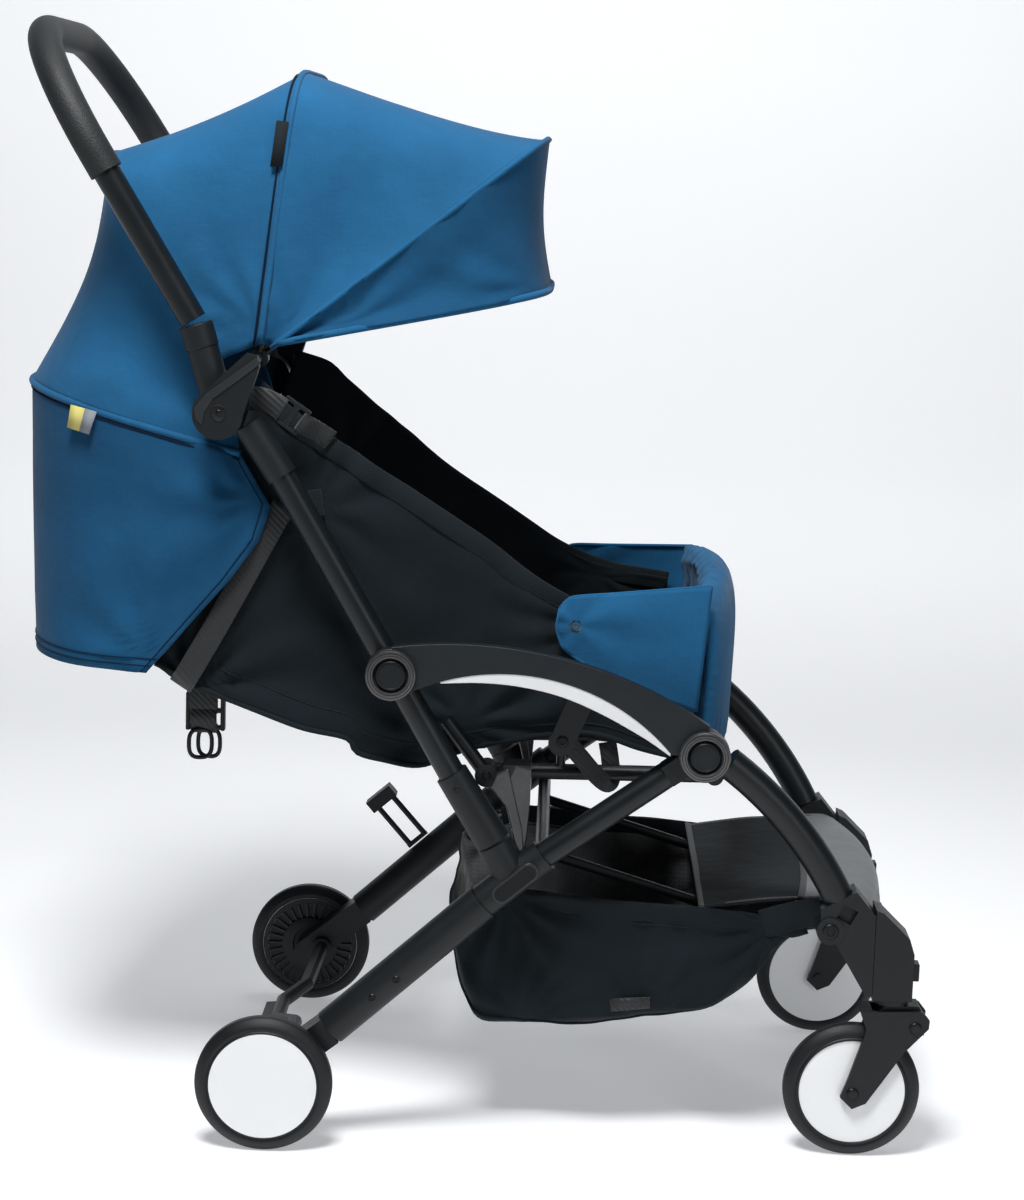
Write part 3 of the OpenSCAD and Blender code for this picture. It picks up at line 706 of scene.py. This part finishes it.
def inflate(obj, voxel, pressure, cap):
    """Swells a closed mesh with cloth pressure and applies the result; no point moves further than cap mm."""
    modifier(obj, "REMESH", mode="VOXEL", voxel_size=voxel * MM)
    apply_modifiers(obj)
    start = np.array([v.co for v in obj.data.vertices])
    cloth = modifier(obj, "CLOTH")
    cloth.settings.use_pressure = True
    cloth.settings.uniform_pressure_force = pressure
    cloth.settings.effector_weights.gravity = 0
    scene.frame_start, scene.frame_end = 1, SETTLE_FRAMES
    cloth.point_cache.frame_start, cloth.point_cache.frame_end = 1, SETTLE_FRAMES
    for step in range(1, SETTLE_FRAMES + 1):
        scene.frame_set(step)
    end = np.array([v.co for v in evaluated(obj).data.vertices])
    move = end - start
    length = np.linalg.norm(move, axis=1, keepdims=True)
    kept = start + move * np.minimum(1, cap * MM / np.maximum(length, 1e-9))
    obj.modifiers.clear()
    obj.data.vertices.foreach_set("co", kept.astype(np.float32).ravel())
    obj.data.update()
    scene.frame_set(1)


def apply_modifiers(obj):
    mesh = bpy.data.meshes.new_from_object(evaluated(obj))
    mesh.materials.clear()
    mesh.materials.append(obj.data.materials[0])
    obj.modifiers.clear()
    obj.data = mesh
    shade_smooth(mesh)


def channels(obj, along, across, pitch, depth, normal):
    """Sewn channels: dents the face that looks along normal, in lines square to along, pitch mm apart."""
    for v in obj.data.vertices:
        facing = max(0.0, v.normal.dot(normal))
        phase = v.co.dot(along) / (pitch * MM)
        dent = exp(-((phase - round(phase)) / 0.09) ** 2)
        edge = cos(min(1.0, abs(v.co.dot(across)) / 0.145) * pi / 2) ** 0.4
        v.co -= normal * dent * depth * MM * facing * edge
    obj.data.update()


BACK_LOW = (-38, 0, 366)
BACK_DIR = Vector((-0.9597, 0, 0.281)).normalized()
BACK_NORMAL = Vector((0.281, 0, 0.9597)).normalized()


def finish_pad(pad, body, replaced):
    modifier(pad, "SUBSURF", levels=1, render_levels=1)
    finish_piece(pad, body, replaced)


def make_pads():
    cushion = block("seat_pad", point(20, -146, 388), point(200, 146, 405), "cloth")
    inflate(cushion, 5, 4, 6)
    channels(cushion, X_AXIS, Y_AXIS, 60, 3.5, Z_AXIS)
    finish_pad(cushion, "base", "seat_cushion")
    back = block("back_pad", point(4, -145, 4), point(326, 145, 21), "cloth")
    lean = Matrix((BACK_DIR, -Y_AXIS, BACK_NORMAL)).transposed().to_4x4()
    back.data.transform(Matrix.Translation(point(*BACK_LOW)) @ lean)
    inflate(back, 6, 4, 6)
    channels(back, BACK_DIR, Y_AXIS, 76, 3.5, BACK_NORMAL)
    finish_pad(back, "backrest", "backrest")


make_pads()


def on_back(line):
    """Strap points on the backrest, from (run along it, lift above its lower face) pairs in mm."""
    places = [Vector(BACK_LOW) + BACK_DIR * run + BACK_NORMAL * lift for run, lift in line]
    return [(at.x, 58, at.z) for at in places]


def strap_pad(name, points, width, thick, reference, body, side):
    """Padded sleeve over a harness strap."""
    pad = strap_piece(name, points, width, thick, reference, body, "", side, "cloth_edge")


def make_harness():
    lap = [(50, 141, 412), (60, 104, 415), (72, 60, 421), (82, 27, 425)]
    hip = [(56, 120, 413.5), (63, 92, 417), (70, 66, 421.5)]
    shoulder = on_back(((40, 27), (110, 28.5), (190, 27.5), (280, 27)))
    sleeve = on_back(((110, 29), (150, 30.5), (200, 30.5), (250, 29)))
    for hand, side in SIDES:
        strap_piece("lap_strap_" + hand, lap, 25, 2.2, Z_AXIS, "base", "lap_straps", side)
        strap_pad("hip_pad_" + hand, hip, 42, 7, Z_AXIS, "base", side)
        strap_piece("shoulder_strap_" + hand, shoulder, 25, 2.4, BACK_NORMAL, "backrest",
                    "shoulder_straps", side)
        strap_pad("shoulder_pad_" + hand, sleeve, 46, 8, BACK_NORMAL, "backrest", side)
    crotch = [(152, 0, 410), (136, 0, 413), (120, 0, 416), (103, 0, 421)]
    strap_piece("crotch_strap", crotch, 30, 2.4, Z_AXIS, "base")


def make_clip(hand, side):
    """Open buckle with two slots, where the seat's top corner hangs from the hinge's strap."""
    along, across = Vector((0.83, -0.555)), Vector((0.555, 0.83))
    middle = Vector((-168, 692))
    bars = [(-11.5, 0, 2.2, 13), (0, 0, 3.2, 13), (11.5, 0, 2.2, 13), (0, -11.5, 13, 1.9), (0, 11.5, 13, 1.9)]
    for k, (run, out, half_run, half_out) in enumerate(bars):
        corners = ((-1, -1), (1, -1), (1, 1), (-1, 1))
        outline = [middle + along * (run + a * half_run) + across * (out + b * half_out) for a, b in corners]
        low, high = 185 + k * 0.05, 190 + k * 0.05
        corners = [(c.x, c.y) for c in outline]
        flat_piece(f"anchor_clip_{k}_{hand}", corners, low, high, side, "moulded", 0.8, "back_frame")


def hoop(name, middle, width, height, wire, lean):
    """Closed oval ring of wire that hangs in the plane of X and Z, turned by lean degrees about Z."""
    turn = radians(lean)
    rings = []
    for a in (*angles(48), 2 * pi):
        flat = Vector((copysign(abs(cos(a)) ** 0.7, cos(a)) * width / 2, 0,
                       copysign(abs(sin(a)) ** 0.7, sin(a)) * height / 2))
        outward = Vector((cos(a), 0, sin(a)))
        ring = []
        for b in angles(10):
            p = flat + outward * wire / 2 * cos(b) + Vector((0, wire / 2 * sin(b), 0))
            x = middle[0] + p.x * cos(turn) - p.y * sin(turn)
            y = middle[1] + p.x * sin(turn) + p.y * cos(turn)
            ring.append(point(x, y, middle[2] + p.z))
        rings.append(ring)
    obj = loft(name, rings, "moulded", around=True)
    weld(obj)
    return obj


def make_recline_buckle():
    """Ladder buckle behind the seat with its webbing wound through it and two pull rings."""
    webs = [[(-276, 0, 434), (-273, -2, 416), (-271, -4.5, 396), (-271, -5, 380), (-271, -3, 370)],
            [(-271, -3, 378), (-271, -6, 366), (-271, -3, 356), (-271, 1, 350), (-271, 3, 358)]]
    for k, line in enumerate(webs):
        strap_piece(f"buckle_web_{k}", line, 29 - 2 * k, 2.4, Y_AXIS, "backrest")
    for k, x in enumerate((-289, -254)):
        outline = [(x, 352), (x + 4.5, 352), (x + 4.5, 391), (x, 391)]
        flat_piece(f"buckle_rail_{k}", outline, -5, 5, -1, "moulded", 1.4, "backrest",
                   replaced="recline_buckle")
    for k, z in enumerate((386.5, 370, 352.5)):
        outline = [(-286, z), (-252, z), (-252, z + 4.5), (-286, z + 4.5)]
        flat_piece(f"buckle_bar_{k}", outline, -3.4, 3.4, -1, "moulded", 1.2, "backrest")
    for k, (x, y, lean) in enumerate(((-274, -3, 12), (-266, 3, -10))):
        finish_piece(hoop(f"pull_ring_{k}", (x, y, 338.5), 23, 29, 4.4, lean), "backrest")


def make_seat_straps():
    recline = [(-176, 167.2, 606), (-192, 167.2, 576), (-232, 167.2, 500), (-262, 167.2, 446),
               (-272, 158, 430)]
    upper = [(-207, 186, 706), (-196, 188, 706), (-184, 190.5, 702), (-176, 191.5, 697)]
    lower = [(-160, 191, 687), (-154, 186, 683), (-146, 174, 677), (-134, 164, 668)]
    loop = [(97, 165, 388), (108, 165.5, 376), (122, 164, 360), (134, 160, 350), (138, 155, 356),
            (136, 151, 372), (133, 149, 388)]
    tab = [(-154, 620), (-142, 622), (-138, 598), (-151, 595)]
    for hand, side in SIDES:
        strap_piece("recline_strap_" + hand, recline, 23, 1.8, Y_AXIS, "back_frame", "recline_straps", side)
        strap_piece("anchor_upper_" + hand, upper, 22, 2.4, Y_AXIS, "back_frame", side=side)
        strap_piece("anchor_lower_" + hand, lower, 19, 2.4, Y_AXIS, "back_frame", side=side)
        make_clip(hand, side)
        strap_piece("seat_loop_" + hand, loop, 17, 2.2, Y_AXIS, "base", side=side)
        flat_piece("seat_tab_" + hand, tab, 164, 169, side, "cloth_edge", 0.4, "back_frame")
    make_recline_buckle()
    cross = [(-268, y, 434 - 5 * cos(y / 100)) for y in (-158, -110, -55, 0, 55, 110, 158)]
    strap_piece("recline_cross_strap", cross, 23, 2.2, (1, 0, 0.4), "back_frame")


make_harness()
make_seat_straps()


# ---------------------------------------------------------------- leg rest
LEG_OUTER = [(249, 374), (251, 430), (252, 500), (245, 536), (232, 552)]
LEG_INNER = [(219, 545), (226, 520), (229, 480), (229, 430), (229, 376)]


LEG_FOOT, LEG_HEIGHT = 374, 186
CHANNEL, RIDGE, RUCHE, GATHER = 0.034, 0.003, 0.0016, 0.0011


def make_leg_rest():
    """Padded rest, pinched and gathered at its sides and quilted inside."""
    outer, inner = side_line(LEG_OUTER, 36), side_line(LEG_INNER, 36)
    half, steps = 163, 60
    rings = []
    for i in range(steps + 1):
        f = 2 * i / steps - 1
        pinch = 1 - 0.75 * abs(f) ** 8
        ring = []
        for k, p in enumerate([*outer, *inner]):
            other = [*inner[::-1], *outer[::-1]][k]
            q = p.lerp(other, 0.5 - 0.5 * pinch)
            drop = 16 * f * f * (q.z - LEG_FOOT) / LEG_HEIGHT
            ring.append(point(q.x - 20 * f * f, half * f, q.z - drop))
        rings.append(ring)
    rest = loft("leg_rest_pad", rings, "blue", around=True, capped=True)
    inflate(rest, 5, 3, 5)
    for v in rest.data.vertices:
        inward = max(0.0, -v.normal.x)
        phase = (v.co.y + 0.008 * sin(v.co.z * 190)) / CHANNEL
        ridge = exp(-((phase - round(phase)) / 0.12) ** 2)
        v.co.x += inward * ridge * RIDGE
        low = max(0.0, 1 - (v.co.z - 0.374) / 0.05)
        v.co += v.normal * RUCHE * low * sin(v.co.y * 520)
        gathered = max(0.0, abs(v.co.y) - 0.138) / 0.02
        v.co += v.normal * GATHER * min(1.0, gathered) * sin(v.co.z * 620 + 3 * noise.noise(v.co * 30))
    rest.data.update()
    modifier(rest, "SUBSURF", levels=1, render_levels=1)
    finish_piece(rest, "leg_rest", "leg_rest")
    for pair in SIDES:
        make_flap(*pair)


FLAP_TOP = [(84, 519), (90, 526), (99, 530), (136, 534), (180, 539), (224, 544)]
FLAP_LOW = [(81, 502), (84, 490), (92, 478), (125, 458), (170, 440), (214, 425)]


SNAP_AT = (99, 503)
SNAP = [(6.5, 170), (6.5, 173), (5.6, 174.2), (4.4, 174.4), (3.6, 173.4), (2.4, 173.2), (1.8, 174),
        (0, 174.2)]


def make_flap(hand, side):
    drop = 0.09 if side > 0 else 0.0
    top = [(x, z - drop * (x - 84)) for x, z in FLAP_TOP]
    flap, tops, feet = side_cloth("leg_flap_" + hand, top, FLAP_LOW, 170, side, 48, 28, "blue")
    wrinkle(flap, 1.6, (14, 9, 10), 21.0 + side)
    pull_folds(flap, SNAP_AT, 4.0, 0.13, 6)
    finish_piece(thicken(flap, 2.4), "leg_rest", "leg_rest_flaps")
    rim = [*tops, *feet[::-1], tops[0]]
    hem = swept("leg_flap_hem_" + hand, rim, round_shape(3.2, 8), "blue_edge")
    finish_piece(hem, "leg_rest")
    turned("leg_snap_" + hand, SNAP_AT, SNAP, "copper", side, 40, "leg_rest")


make_leg_rest()

# ---------------------------------------------------------------- basket
BASKET_RIM = [(-8, 221), (8, 231), (28, 240), (50, 245), (90, 242), (140, 237), (190, 235), (230, 233),
              (270, 229), (300, 226), (318, 224), (328, 223)]
BASKET_FLOOR = [(-14, 204), (-9, 172), (3, 130), (21, 105), (90, 104), (140, 108), (190, 115), (235, 128),
                (274, 152), (298, 185), (314, 206), (326, 216)]
BASKET_FOLDS = [((40, 235), 7.0, 0.14), ((300, 215), 7.0, 0.17), ((60, 112), 5.0, 0.1),
                ((180, 118), 4.0, 0.1)]
BASKET_HALF, BASKET_POWER, BASKET_POINTS = 161, 0.17, 121
BASKET_MIDDLE = point(160, 0, 330)


def make_basket():
    rims, floors = side_line(BASKET_RIM, 80, 6), side_line(BASKET_FLOOR, 80, 6)
    rows = [((r.x, r.z), (f.x, f.z), BASKET_POWER) for r, f in zip(rims, floors)]
    bows = [bow(row, BASKET_HALF, 0, BASKET_POINTS) for row in rows]
    cloth = loft("basket_cloth", bows, "cloth")
    wrinkle(cloth, 5.5, (15, 8, 9), 2.0, lambda p: min(1.0, max(0.0, (0.228 - p.z) / 0.03)))
    for root, height, reach in BASKET_FOLDS:
        pull_folds(cloth, root, height, reach, 13)
    for v in cloth.data.vertices:
        gather = max(0.0, 1 - (v.co.x + 0.01) / 0.07) * max(0.0, 1 - abs(v.co.z - 0.2) / 0.08)
        v.co.y += copysign(1, v.co.y) * 2.4 * MM * gather * sin(v.co.x * 330 + v.co.z * 120)
    cloth.data.update()
    # Inner felt face, brightened by painted light in its base colour.
    cloth.data.materials.append(materials["felt"])
    two_faced(cloth, BASKET_MIDDLE, 2.2)
    folding = [cloth]
    for hand, side in SIDES:
        y = side * (BASKET_HALF + 0.5)
        rim = [point(r.x, y, r.z - min(9, (r.z - f.z) / 2)) for r, f in zip(rims, floors)]
        pocket = [point(r.x, side * (BASKET_HALF + 1.6), r.z - 21) for r in rims[6:66]]
        folding.append(swept("basket_hem_" + hand, rim, strap_shape(18, 3), "cloth_edge"))
        folding.append(swept("basket_stitch_" + hand, pocket, round_shape(1.0), "recess"))
    corner = min(range(60), key=lambda k: abs(bows[40][k].y + 0.148))
    for hand, column in (("right", corner), ("left", BASKET_POINTS - 1 - corner)):
        seam = traced(cloth, BASKET_POINTS, [(k, column) for k in range(6, 76)], 0.6, BASKET_MIDDLE)
        folding.append(swept("basket_seam_" + hand, seam, round_shape(3.0), "cloth_edge"))
    for hand, side in SIDES:
        tie = ((286, 162.5, 219), (320, 165, 230), (334, 172, 234), (348, 180, 236))
        path = smooth_path([point(x, side * y, z) for x, y, z in tie], 6)
        folding.append(swept("basket_tie_" + hand, path, strap_shape(28, 2.6), "cloth_edge"))
    tag = [[point(143.6, -163.5, 139.8), point(182.7, -163.5, 142.6)],
           [point(146, -162.5, 126.5), point(183, -162.5, 131.4)]]
    folding.append(thicken(loft("basket_tag", tag, "webbing"), 1.4))
    for piece in folding:
        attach(piece, "base")
        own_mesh(piece)
    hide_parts("basket")


make_basket()


def follow_front(piece):
    """Bakes the footrest cloth's placement into its mesh."""
    bending(piece)


def make_cover():
    profile = [(226, 230), (262, 235.5), (300, 240.5), (340, 243.5), (380, 246.5), (396, 246), (408, 239.5),
               (412.5, 222), (414, 200)]
    line = side_line(profile, 60)
    half, steps = 158, 56
    rings = []
    for i in range(steps + 1):
        y = half * (2 * i / steps - 1)
        pull = 21 * (y / 150) ** 2
        rings.append([point(p.x - pull * max(0.0, (p.x - 226) / 190), y, p.z) for p in line])
    seam = next(k for k, p in enumerate(line) if p.x > 334)
    # The footrest panel's grey carries painted light on top of its own lighter tone.
    parts = [("footrest_cloth", [ring[: seam + 1] for ring in rings], "cloth_edge"),
             ("footrest_panel", [ring[seam:] for ring in rings], "cover")]
    for name, part, finish in parts:
        piece = loft(name, part, finish)
        wrinkle(piece, 0.9, (10, 6, 8), 6.0)
        thicken(piece, 2.0)
        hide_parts("footrest_cover")
        follow_front(piece)
    borders = [("footrest_seam", [ring[seam] + point(0, 0, 1.2) for ring in rings]),
               ("footrest_hem_right", rings[1]), ("footrest_hem_left", rings[-2]),
               ("footrest_hem_rear", [ring[1] + point(0, 0, 1) for ring in rings])]
    for name, path in borders:
        follow_front(swept(name, path, strap_shape(7, 2.4), "webbing", Vector((0.25, 0, 1))))


make_cover()


# ---------------------------------------------------------------- hinge caps and bolts
REAR_AXLE, FRONT_AXLE, HANDLE_HINGE = (-180, 65), (377, 65), (-230, 695.5)
CAP_BASE = 222.5
CAP_RING = [(23.5, 0), (23.5, 6), (22.6, 7.2), (21.2, 7.4), (20.9, 6.6), (20.6, 7.5), (18.6, 7.6),
            (18.3, 6.8), (18.0, 7.6), (16.8, 7.5), (15.8, 6.2), (15.8, 0)]
CAP_GROOVE = [(15.9, 1), (15.9, 3), (0, 3)]
CAP_BUTTON = [(13.6, 2), (13.6, 6.6), (12.9, 7.4), (11.6, 7.6), (11.2, 6.9), (0, 7.0)]
BOLTS = (  # name, [x, z] place, |y| of the face, diameter, body
    ("axle_bolt", FRONT_AXLE, 196, 12, "fork"),
    ("pivot_bolt", (433, 132), 196, 12, "fork"),
    ("socket_bolt", (347.8, 224.7), 198.5, 15, "front_frame"),
    ("hub_screw", HANDLE_HINGE, 222.6, 7, "back_frame"),
    ("bracket_screw", (90.3, 395.5), 188, 11, "base"),
    ("link_screw", (20, 358), 179, 9, "base"),
    ("sleeve_screw", (-5.8, 351.6), 211, 8, "back_frame"),
    ("leg_screw_low", (-80, 148.4), 213.5, 8, "base"),
    ("leg_screw_high", (-57.7, 166.8), 213.5, 8, "base"),
)


def hinge_cap(name, at, side):
    """Turned hinge cover: a metal ring with two fine grooves, a dark recess and a raised button in it."""
    turned(name + "_ring", at, CAP_RING, "ring", side, 96, "base", base=CAP_BASE, ring=True)
    turned(name + "_groove", at, CAP_GROOVE, "recess", side, 48, "base", base=CAP_BASE)
    turned(name + "_button", at, CAP_BUTTON, "tube", side, 64, "base", "hinge_caps", CAP_BASE)


for hand, side in SIDES:
    hinge_cap("mid_cap_" + hand, (-69, 460.5), side)
    hinge_cap("front_cap_" + hand, (221.6, 394.2), side)
    for bolt_name, place, face_y, size, owner in BOLTS:
        owner = "fork_" + hand if owner == "fork" else owner
        bolt(f"{bolt_name}_{hand}", place, face_y, size, side, owner)


def capsule(middle, tilt, length, width, steps=10):
    """Outline of a rounded pill about an [x, z] point, turned by tilt degrees."""
    r, half = width / 2, (length - width) / 2
    along = Vector((cos(radians(tilt)), sin(radians(tilt))))
    across = Vector((-along.y, along.x))
    turns = [pi * k / steps - pi / 2 for k in range(steps + 1)]
    front = [middle + along * (half + r * cos(a)) + across * r * sin(a) for a in turns]
    rear = [middle - along * (half + r * cos(a)) - across * r * sin(a) for a in turns]
    return [(p.x, p.y) for p in front + rear]


def wheel_core(name, side, body):
    """Black ribbed core on a rear wheel's inner face."""
    at = REAR_AXLE
    profile = [(51.6, 216), (51.6, 212.8), (46.8, 212.4), (46.2, 213.4), (46.2, 222), (30.6, 222),
               (30.6, 213), (29.6, 212.2), (19, 212), (18, 213.6), (0, 213.8)]
    turned(name + "_core", at, profile, "moulded", side, 64, body)
    ribs = []
    faces = []
    for a in angles(30):
        across = Vector((-sin(a), 0, cos(a))) * 1.1 * MM
        near, far = (point(at[0] + r * cos(a), 0, at[1] + r * sin(a)) for r in (30, 46.6))
        faces += [tuple(len(ribs) + i for i in face) for face in BOX_FACES]
        ribs += [end + across * shift + point(0, side * out, 0)
                 for end in (near, far) for shift in (-1, 1) for out in (213.2, 222.5)]
    finish_piece(mesh_object(name + "_ribs", ribs, faces, "tube", smooth=False), body)


def make_fittings(hand, side):
    lower = [(-24, 453.4), (14.3, 455.2), (51.7, 452.6), (89.4, 444.3), (127.2, 429), (165.5, 408.5),
             (190, 392.5)]
    low_edge = [(p.x, p.z) for p in smooth_path([Vector((x, 0, z)) for x, z in lower], 6)]
    top_edge = [(x, 262.3 + sqrt(203.2 ** 2 - (x - 37.4) ** 2)) for x in np.linspace(190, -24, 30)]
    flat_piece("arch_trim_" + hand, low_edge + top_edge, 213, 221.6, side, "trim", 0.8, "base")
    rim, badge = (capsule(Vector((51, 265)), 41, length, width) for length, width in ((51, 18), (47, 14)))
    flat_piece("leg_badge_rim_" + hand, rim, 205, 216.0, side, "satin", 0.9, "base")
    flat_piece("leg_badge_" + hand, badge, 205, 216.3, side, "recess", 0.4, "base")
    legs = [[(24.5, 350.5), (30, 364), (41, 370), (47, 345), (55.5, 312), (58.2, 289.5), (50.5, 289.5),
             (40, 332)],
            [(40, 356), (47, 372), (62.5, 369), (61.8, 330), (59, 289.5), (52, 289.5), (47, 322)]]
    for k, outline in enumerate(legs):
        name = f"lock_link_{k}_{hand}"
        flat_piece(name, outline, 162.5 + k, 194.5 - 2 * k, side, "smoke", 1.6, "base")
    facet = [(-241.6, 713), (-234.6, 708.8), (-192.7, 741.2), (-196.5, 746.6)]
    flat_piece("hub_facet_" + hand, facet, 222, 225.6, side, "satin", 0.9, "back_frame")
    quarter = [(-241.6, 713), (-234.6, 708.8), (-243, 696), (-245.2, 684), (-251, 690), (-252.4, 700)]
    flat_piece("hub_quarter_" + hand, quarter, 222, 225.2, side, "satin", 0.9, "back_frame")
    dish = [(7.6, 223), (7.6, 224.5), (6.9, 224.9), (6.3, 224.3), (6.1, 224.15), (0, 224.1)]
    turned("hub_dish_" + hand, HANDLE_HINGE, dish, "recess", side, 48, "back_frame")
    axis = Vector((-24.1, 0, 78.7)).normalized()
    start = point(-255.5, side * 197, 773)
    collar = [start + axis * d * MM for d in (-22, -20, -2, 0)]
    sleeve = swept("elbow_collar_" + hand, collar, round_shape(31, 32), "moulded")
    rounded(sleeve, 0.8)
    finish_piece(sleeve, "handle")
    wheel_core("rear_wheel_" + hand, side, "rear_wheel_" + hand)
    bead = [(53.4, -3), (53.4, -0.2), (52.4, 0.8), (51.2, 0.9), (50.4, 0.2), (50.2, -3)]
    for wheel, at, face in (("rear", REAR_AXLE, 234.4), ("front", FRONT_AXLE, 189.4)):
        name, body = f"{wheel}_bead_{hand}", f"{wheel}_wheel_{hand}"
        turned(name, at, bead, "tyre", side, 96, body, base=face, ring=True)


for pair in SIDES:
    make_fittings(*pair)
